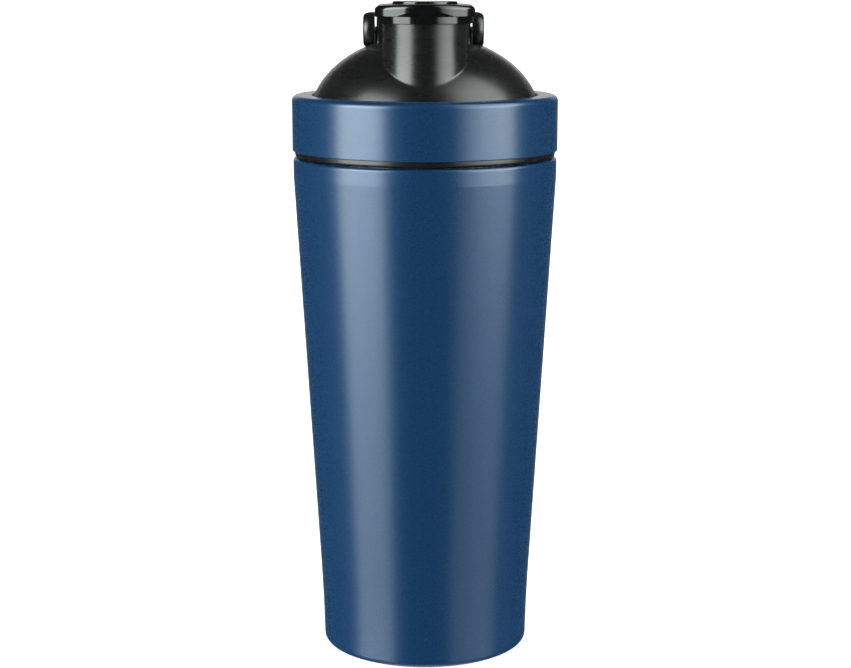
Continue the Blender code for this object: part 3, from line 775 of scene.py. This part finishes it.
def build_gasket(silicone):
    """A flat ring with rounded edges and two sealing ribs underneath."""
    bottom = GASKET_LOW.z
    top = GASKET_HIGH.z
    inner = PLUG_RING_RADIUS + GAP
    outer = SKIRT_BORE - GAP
    edge = GASKET_EDGE
    rib_steps = 16
    outline = arc((inner + edge, top - edge), edge, 180, 90, 5)
    outline += arc((outer - edge, top - edge), edge, 90, 0, 5)
    outline += arc((outer - edge, bottom + edge), edge, 0, -90, 5)
    for i in range(1, rib_steps + 1):
        share = i / rib_steps
        radius = outer - edge - (outer - inner - 2 * edge) * share
        outline.append((radius, bottom + GASKET_RIB * math.sin(2 * math.pi * share) ** 2))
    outline += arc((inner + edge, bottom + edge), edge, 270, 180, 5)[1:]
    gasket = turned_tube("lid_seal_ring", outline)
    return place(gasket, silicone, "gasket", "lid_gasket")


def build_pin(steel):
    """The hinge pin, with rounded ends."""
    ends = arc((PIN_HALF_LENGTH - PIN_CHAMFER, PIN_RADIUS - PIN_CHAMFER), PIN_CHAMFER, 0, 90, 4)
    stations = [(-x, radius) for x, radius in ends] + list(reversed(ends))
    pin = cross_rod("hinge_rod", [(HINGE.x + x, radius) for x, radius in stations], PIN_STEPS)
    return place(pin, steel, "lid", "hinge_pin")


# ---------------------------------------------------------------- flip cap

def tongue(inset):
    """The cap's outline in plan, moved inwards: a wide arc at the front and straight sides."""
    half_width = CAP_HALF_WIDTH - inset
    front = CAP_FRONT_RADIUS - inset
    centre = CAP_FRONT + CAP_FRONT_RADIUS
    back = CAP_BACK - inset
    corner = max(CAP_CORNER - inset, CAP_LEAST_CORNER)
    corner_x = half_width - corner
    corner_y = centre - math.sqrt((front - corner) ** 2 - corner_x**2)
    turn = math.degrees(math.atan2(corner_y - centre, corner_x))
    side_steps = 12
    back_steps = 16
    points = arc((0, centre), front, -180 - turn, turn, 64)[1:-1]
    points += arc((corner_x, corner_y), corner, turn, 0, 12)
    side = [corner_y + (back - corner - corner_y) * i / side_steps for i in range(1, side_steps)]
    points += [(half_width, y) for y in side]
    points += arc((corner_x, back - corner), corner, 0, 90, 10)
    points += [(corner_x * (1 - 2 * i / back_steps), back) for i in range(1, back_steps)]
    points += arc((-corner_x, back - corner), corner, 90, 180, 10)
    points += [(-half_width, y) for y in reversed(side)]
    points += arc((-corner_x, corner_y), corner, 180, 180 - turn, 12)
    return points


def cap_plate():
    """The cap's plate: rounded edges and a top that is crowned from side to side."""
    def level(inset, height, crown):
        """The outline at a height, its middle raised by the crown."""
        ring = []
        for x, y in tongue(inset):
            ring.append((x, y, height + crown * (1 - (x / CAP_HALF_WIDTH) ** 2)))
        return ring

    underside_inset = 3 * MM
    top_rings = 9
    levels = [level(underside_inset, CAP_UNDERSIDE, 0), level(2 * CAP_EDGE, CAP_UNDERSIDE, 0)]
    for inset, height in arc((CAP_EDGE, CAP_UNDERSIDE + CAP_EDGE), CAP_EDGE, 270, 180, 4):
        levels.append(level(inset, height, 0))
    levels.append(level(0, CAP_UNDERSIDE + 2 * CAP_EDGE, 0))
    levels.append(level(0, CAP_EDGE_TOP - CAP_BEVEL - SUPPORT, CAP_CROWN))
    for inset, height in arc((CAP_BEVEL, CAP_EDGE_TOP - CAP_BEVEL), CAP_BEVEL, 180, 90, 8):
        levels.append(level(inset, height, CAP_CROWN))
    levels.append(level(CAP_BEVEL + SUPPORT, CAP_EDGE_TOP, CAP_CROWN))
    for i in range(top_rings):
        levels.append(level((2 + 1.5 * i) * MM, CAP_EDGE_TOP, CAP_CROWN))
    return skin("cap_moulding", levels)


def thumb_arch():
    """The cut under the cap's front edge: an arch in front that slopes down to the skirt."""
    rings = []
    lowest = CAP_UNDERSIDE - 2 * OVERCUT
    for i in range(ARCH_STEPS + 1):
        share = ARCH_OVERRUN * (2 * i / ARCH_STEPS - 1)
        x = ARCH_HALF_WIDTH * share
        front = CAP_FRONT + CAP_FRONT_RADIUS - math.sqrt(CAP_FRONT_RADIUS**2 - x * x)
        back = SPOUT_Y - math.sqrt(CAP_SKIRT_RADIUS**2 - x * x)
        slope = ARCH_HEIGHT * (1 - share * share) / (back - front)
        outside = front - 2 * OVERCUT
        inside = back + 0.8 * MM
        rings.append([
            (x, outside, lowest),
            (x, outside, CAP_UNDERSIDE + slope * (back - outside)),
            (x, inside, CAP_UNDERSIDE + slope * (back - inside)),
            (x, inside, lowest),
        ])
    return skin("arch", rings)


def build_cap(plastic):
    """The flip cap: plate, skirt, raised pad and hinge arm, with the thumb arch cut from its front."""
    cap = cap_plate()
    combine(cap, "DIFFERENCE", thumb_arch())

    skirt_top = CAP_EDGE_TOP - CAP_BEVEL
    edge = CAP_SKIRT_EDGE
    skirt_line = arc((CAP_SKIRT_RADIUS - edge, CAP_SKIRT_BOTTOM + edge), edge, -90, 0, 4)
    skirt = turned("skirt", skirt_line + [(CAP_SKIRT_RADIUS, skirt_top)], SMALL_TURN_STEPS, SPOUT_Y)
    pad_steps = 10
    pad_rounding = (PAD_RADIUS - PAD_CORNER, PAD_TOP - PAD_CAMBER - PAD_CORNER)
    pad_line = [(PAD_RADIUS, CAP_CEILING + 1 * MM)]
    pad_line += arc(pad_rounding, PAD_CORNER, 0, 85, 6)
    for i in range(1, pad_steps):
        radius = (PAD_RADIUS - PAD_CORNER) * (1 - i / pad_steps)
        pad_line.append((radius, PAD_TOP - PAD_CAMBER * (radius / PAD_RADIUS) ** 2))
    pad = turned("pad", pad_line, SMALL_TURN_STEPS, SPOUT_Y)
    arm_front = SPOUT_Y + CAP_SKIRT_BORE + 1 * MM
    arm_profile = [(arm_front, skirt_top), (arm_front, CAP_SKIRT_BOTTOM)]
    arm_profile += arc((HINGE.y, HINGE.z), CAP_KNUCKLE_RADIUS, -110, 40, 48)
    arm_profile += [(CAP_BACK - CAP_CORNER, skirt_top)]
    arm = across("arm", arm_profile, HINGE.x - CAP_KNUCKLE_HALF, HINGE.x + CAP_KNUCKLE_HALF)
    combine(cap, "UNION", skirt, pad, arm)

    hollow_line = [(CAP_SKIRT_BORE, CAP_SKIRT_BOTTOM - OVERCUT)]
    hollow_corner = (CAP_SKIRT_BORE - CAP_CEILING_CORNER, CAP_CEILING - CAP_CEILING_CORNER)
    hollow_line += arc(hollow_corner, CAP_CEILING_CORNER, 0, 90, 5)
    hollow = turned("hollow", hollow_line, SMALL_TURN_STEPS, SPOUT_Y)
    reach = CAP_KNUCKLE_HALF + OVERCUT
    pin_hole = cross_rod("hole", [(-reach, PIN_HOLE_RADIUS), (reach, PIN_HOLE_RADIUS)])
    combine(cap, "DIFFERENCE", hollow, pin_hole)
    return place(cap, plastic, "flip_cap", "flip_cap")


def build_plug(silicone):
    """The silicone plug: a slight taper with two soft ribs and a rounded tip."""
    steps = 24
    top_radius = SEAL_HIGH.x
    tip_radius = top_radius - PLUG_TAPER
    low = SEAL_LOW.z + PLUG_EDGE
    outline = arc((tip_radius - PLUG_EDGE, low), PLUG_EDGE, -90, 0, 6)
    for i in range(1, steps + 1):
        share = i / steps
        ripple = PLUG_RIPPLE * math.sin(2 * math.pi * share) ** 2
        radius = tip_radius + (top_radius - tip_radius) * share
        outline.append((radius - ripple, low + (SEAL_HIGH.z - low) * share))
    plug = turned("cap_plug", outline, SMALL_TURN_STEPS, SPOUT_Y)
    return place(plug, silicone, "flip_cap", "cap_seal")


# ---------------------------------------------------------------- carry loop

def loop_point(x, along, lift):
    """A point of the folded loop: x sideways, along its curved length, lift off its mid-surface."""
    angle = -LOOP_TILT - LOOP_BEND * along
    swing = (math.sin(-LOOP_TILT) - math.sin(angle)) / LOOP_BEND
    drop = (math.cos(-LOOP_TILT) - math.cos(angle)) / LOOP_BEND
    y = HINGE.y + swing - lift * math.sin(angle)
    z = HINGE.z - drop + lift * math.cos(angle)
    return (HINGE.x + x, y, z)


def rounded_section(half_w, half_h, corner, steps):
    """A rounded rectangle as (sideways, lift) points."""
    points = []
    for cx, cy, start in ((1, 1, 0), (-1, 1, 90), (-1, -1, 180), (1, -1, 270)):
        centre = (cx * (half_w - corner), cy * (half_h - corner))
        points += arc(centre, corner, start, start + 90, steps)
    return points


def loop_path():
    """The bar's middle line from one knuckle to the other, as (sideways, along, turn) stations."""
    mid = (LOOP_INNER + LOOP_OUTER) / 2
    straight = LOOP_REACH - LOOP_CORNER
    corner_x = mid - LOOP_CORNER
    straight_steps = 30
    corner_steps = 24
    bar_steps = 12
    half_path = [(mid, straight * i / straight_steps, 0.0) for i in range(straight_steps)]
    for i in range(corner_steps + 1):
        angle = math.pi / 2 * i / corner_steps
        x = corner_x + LOOP_CORNER * math.cos(angle)
        half_path.append((x, straight + LOOP_CORNER * math.sin(angle), angle))
    for i in range(1, bar_steps):
        half_path.append((corner_x * (1 - i / bar_steps), LOOP_REACH, math.pi / 2))
    return half_path + [(-x, along, math.pi - angle) for x, along, angle in reversed(half_path)]


def loop_knuckle(side):
    """A round disc at one end of the bar, with a crowned outer face."""
    crown_steps = 14
    inner = LOOP_INNER + KNUCKLE_INNER_EDGE
    stations = []
    for drawn, radius in arc((0, LOOP_KNUCKLE_RADIUS - KNUCKLE_INNER_EDGE), KNUCKLE_INNER_EDGE, 0, 90, 4):
        stations.append((HINGE.x + side * (inner - drawn), radius))
    for i in range(crown_steps + 1):
        turn = math.pi / 2 * i / crown_steps
        out = LOOP_OUTER - KNUCKLE_CROWN * (1 - math.sin(turn))
        radius = LOOP_KNUCKLE_RADIUS - KNUCKLE_EDGE * (1 - math.cos(turn))
        stations.append((HINGE.x + side * out, radius))
    return cross_rod("knuckle", stations)


def build_loop(plastic):
    """The carry loop: one bent bar with a knuckle at each end, and a blind hole in each for the pin."""
    rings = []
    for x, along, angle in loop_path():
        height = LOOP_ROOT_HEIGHT + (LOOP_BAR_HEIGHT - LOOP_ROOT_HEIGHT) * along / LOOP_REACH
        ring = []
        for outwards, lift in rounded_section(LOOP_WIDTH / 2, height / 2, LOOP_ROUNDING, 6):
            sideways = x + outwards * math.cos(angle)
            ring.append(loop_point(sideways, along + outwards * math.sin(angle), lift))
        rings.append(ring)
    loop = skin("carry_handle", rings)

    combine(loop, "UNION", loop_knuckle(-1), loop_knuckle(1))
    for side in (-1, 1):
        mouth = HINGE.x + side * (LOOP_INNER - OVERCUT)
        depth = HINGE.x + side * (PIN_HALF_LENGTH + GAP)
        hole = cross_rod("hole", [(mouth, PIN_HOLE_RADIUS), (depth, PIN_HOLE_RADIUS)])
        combine(loop, "DIFFERENCE", hole)
    return place(loop, plastic, "carry_loop", "carry_loop")


# ---------------------------------------------------------------- mixing ball

def build_ball(steel):
    """One round wire wound from pole to pole of a sphere, with rounded ends."""
    tilt = Matrix.Rotation(BALL_TILT, 3, "X")
    centre = Vector((0, 0, BALL_Z))
    steps = BALL_TURNS * 48
    end_steps = 6
    nearby = 1e-4

    def spot(along):
        """Where the wire's middle is, for 0 at one pole to 1 at the other."""
        polar = BALL_POLE + (math.pi - 2 * BALL_POLE) * along
        turn = math.tau * BALL_TURNS * along
        ring = BALL_RADIUS * math.sin(polar)
        return Vector((ring * math.cos(turn), ring * math.sin(turn), BALL_RADIUS * math.cos(polar)))

    def ring_at(along, radius, ahead):
        """A ring of points square to the wire, moved ahead along it."""
        here = spot(along)
        forward = (spot(along + nearby) - spot(along - nearby)).normalized()
        outward = here.normalized()
        side = forward.cross(outward).normalized()
        outward = side.cross(forward)
        ring = []
        for x, y, _ in circle(radius, 0, WIRE_STEPS):
            ring.append(centre + tilt @ (here + forward * ahead + outward * x + side * y))
        return ring

    rings = []
    cap_angles = [math.pi / 2 * i / end_steps for i in range(end_steps)]
    for angle in cap_angles:
        radius = max(WIRE_RADIUS * math.sin(angle), WIRE_TIP)
        rings.append(ring_at(0, radius, -WIRE_RADIUS * math.cos(angle)))
    rings += [ring_at(i / steps, WIRE_RADIUS, 0) for i in range(steps + 1)]
    for angle in reversed(cap_angles):
        radius = max(WIRE_RADIUS * math.sin(angle), WIRE_TIP)
        rings.append(ring_at(1, radius, WIRE_RADIUS * math.cos(angle)))
    return place(skin("whisk_ball", rings), steel, "mixing_ball", "mixing_ball")


# ---------------------------------------------------------------- stage, light, camera

def build_floor():
    """A pale floor that the bottle stands on. It takes a shadow but stays out of reflections."""
    material, tree, shader = start_material("pale_floor")
    cloud = noise(tree, object_coordinates(tree), scale=3, detail=2)
    set_shader(
        tree, shader,
        Base_Color=mix_colour(tree, cloud, (0.80, 0.80, 0.80, 1), (0.83, 0.83, 0.83, 1)),
        Roughness=0.9,
        Emission_Color=(1, 1, 1, 1),
        Emission_Strength=0.82,
    )
    bpy.ops.mesh.primitive_circle_add(vertices=96, radius=FLOOR_RADIUS, fill_type="NGON")
    floor = bpy.context.object
    floor.name = "floor"
    floor.data.materials.append(material)
    floor.visible_glossy = False
    floor.visible_diffuse = False


def strip(tree, angle, low, high, soft):
    """1 between two angles in degrees and 0 outside them, with soft sides."""
    rise = remap(tree, angle, low - soft, low + soft, 0, 1)
    fall = remap(tree, angle, high - soft, high + soft, 1, 0)
    return math_node(tree, "MULTIPLY", rise, fall)


def left_light(tree, azimuth, elevation):
    """A tall soft light on the -X side, weaker low down and fading out at its top."""
    span = strip(tree, azimuth, *LEFT_SPAN, LEFT_SOFTNESS)
    light = math_node(tree, "MULTIPLY", span, remap(tree, elevation, *LEFT_POWER))
    return math_node(tree, "MULTIPLY", light, remap(tree, elevation, *LEFT_TOP))


def right_light(tree, azimuth, elevation):
    """A taller, weaker light on the +X side. Its outer side leans out with height, and it grows
    brighter towards that side, except low down, where it is even."""
    shading = remap(tree, azimuth, *RIGHT_SHADING)
    evened = remap(tree, elevation, *RIGHT_EVEN_BELOW, 1.0, shading)
    power = math_node(tree, "MULTIPLY", remap(tree, elevation, *RIGHT_POWER), evened)
    leaning = math_node(tree, "SUBTRACT", azimuth, remap(tree, elevation, *RIGHT_WIDENING))
    outer_side = remap(tree, leaning, *RIGHT_OUTER_SIDE)
    light = math_node(tree, "MULTIPLY", remap(tree, azimuth, *RIGHT_INNER_SIDE), outer_side)
    light = math_node(tree, "MULTIPLY", light, power)
    return math_node(tree, "MULTIPLY", light, remap(tree, elevation, *RIGHT_TOP))


def mirrored_light(tree, azimuth, elevation):
    """What shiny surfaces see: two side lights with a brighter band above the horizon, a low backdrop
    behind the bottle, a glow from the table straight below, and a dark room elsewhere."""
    sides = math_node(
        tree, "ADD", left_light(tree, azimuth, elevation), right_light(tree, azimuth, elevation)
    )
    sides = math_node(tree, "MULTIPLY", sides, remap(tree, elevation, *GROUND_FADE))
    band = strip(tree, elevation, *CORE_SPAN, CORE_SOFTNESS)
    sides = math_node(tree, "MULTIPLY", sides, math_node(tree, "MULTIPLY_ADD", band, CORE_GAIN, 1.0))
    sides = math_node(tree, "ADD", sides, remap(tree, elevation, *TABLE_GLOW))
    behind = remap(tree, math_node(tree, "ABSOLUTE", azimuth), *BACKDROP_SIDES)
    backdrop = math_node(tree, "MULTIPLY", behind, remap(tree, elevation, *BACKDROP_FOOT))
    backdrop = math_node(tree, "MULTIPLY", backdrop, remap(tree, elevation, *BACKDROP_TOP))
    return math_node(tree, "ADD", math_node(tree, "ADD", sides, backdrop), DARK_ROOM)


def build_studio():
    """A soft studio. The camera itself sees a white sweep, shiny surfaces see the lights, and matt
    surfaces get a smooth light that comes mostly from the sides."""
    world = bpy.data.worlds.new("studio")
    bpy.context.scene.world = world
    world.use_nodes = True
    world.cycles.sampling_method = "NONE"
    tree = world.node_tree
    tree.nodes.clear()
    direction = add_node(tree, "ShaderNodeTexCoord").outputs["Generated"]
    axes = add_node(tree, "ShaderNodeSeparateXYZ", {"Vector": direction}).outputs
    forward = math_node(tree, "MULTIPLY", axes[1], -1.0)
    azimuth = math_node(tree, "DEGREES", math_node(tree, "ARCTAN2", axes[0], forward))
    elevation = math_node(tree, "DEGREES", math_node(tree, "ARCSINE", axes[2]))
    mirrored = mirrored_light(tree, azimuth, elevation)
    crosswise = math_node(tree, "MULTIPLY", axes[0], axes[0])
    leaning = math_node(tree, "MULTIPLY_ADD", axes[0], MATT_LEAN, MATT_SIDES)
    matt_light = math_node(tree, "MULTIPLY_ADD", crosswise, leaning, MATT_BASE)

    seen = add_node(tree, "ShaderNodeLightPath").outputs
    light = remap(tree, seen["Is Diffuse Ray"], 0, 1, mirrored, matt_light, "LINEAR")
    studio = add_node(tree, "ShaderNodeBackground", {"Color": (1, 1, 1, 1), "Strength": light})
    sweep = add_node(tree, "ShaderNodeBackground", {"Color": (1, 1, 1, 1), "Strength": 1.0})
    inputs = {0: seen["Is Camera Ray"], 1: studio.outputs[0], 2: sweep.outputs[0]}
    mixed = add_node(tree, "ShaderNodeMixShader", inputs)
    add_node(tree, "ShaderNodeOutputWorld", {"Surface": mixed.outputs[0]})


def build_camera():
    """The viewpoint: a long lens in front of the spout, a little above the lid, tipped down."""
    camera = bpy.data.objects.new("camera", bpy.data.cameras.new("camera"))
    bpy.context.scene.collection.objects.link(camera)
    camera.location = CAMERA_PLACE
    camera.rotation_euler = (math.pi / 2 - CAMERA_TIP, 0, 0)
    camera.data.sensor_width = CAMERA_FILM
    camera.data.sensor_fit = "HORIZONTAL"
    camera.data.lens = CAMERA_LENS
    camera.data.clip_start = 0.01
    bpy.context.scene.camera = camera


def main():
    """Build every piece, then the stage, the light and the camera."""
    bpy.context.scene.view_settings.view_transform = "Standard"
    paint = make_paint()
    satin = make_black("satin_black", (0.0100, 0.0104, 0.0104), 0.25, 0.30, grain_depth=0.0022 * MM)
    gloss = make_black("gloss_black", (0.0075, 0.0082, 0.009), 0.10, 0.14, grain_depth=0.0008 * MM)
    silicone = make_silicone()
    spun = make_spun_steel()
    wire = make_drawn_wire()

    build_shell(paint)
    build_liner(spun)
    build_base(spun)
    build_collar(paint)
    build_lid(satin)
    build_gasket(silicone)
    build_pin(wire)
    build_cap(gloss)
    build_plug(silicone)
    build_loop(satin)
    build_ball(wire)
    build_floor()
    build_studio()
    build_camera()


main()
